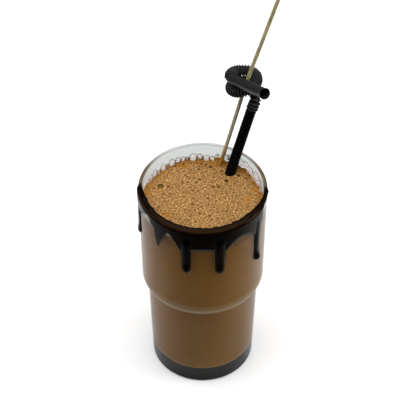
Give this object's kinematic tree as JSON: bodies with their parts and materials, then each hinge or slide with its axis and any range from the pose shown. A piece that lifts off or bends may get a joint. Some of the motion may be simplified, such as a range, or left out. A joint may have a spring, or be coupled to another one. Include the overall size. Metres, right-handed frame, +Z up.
{
  "type": "iced chocolate",
  "caption": "Tall stepped glass of iced chocolate with froth, chocolate sauce run down from the rim, a bamboo skewer and a black bendy straw coiled round it.",
  "frame": {"origin": "middle of the underside of the glass, on the table", "axes": "+Z up along the axis of the glass, -Y toward the side with the most sauce, as the picture is seen; +X to the right"},
  "size_m": [0.0992, 0.0968, 0.2996],
  "materials": {
    "glass": "clear polished",
    "drink": "opaque milky liquid",
    "froth": "bubbly foam",
    "sauce": "glossy syrup",
    "straw": "satin",
    "bamboo": "raw"
  },
  "bodies": {
    "root": {"glass": "glass", "drink": "drink", "froth": "froth", "chocolate_sauce": "sauce", "straw": "straw", "skewer": "bamboo"}
  },
  "joints": []
}
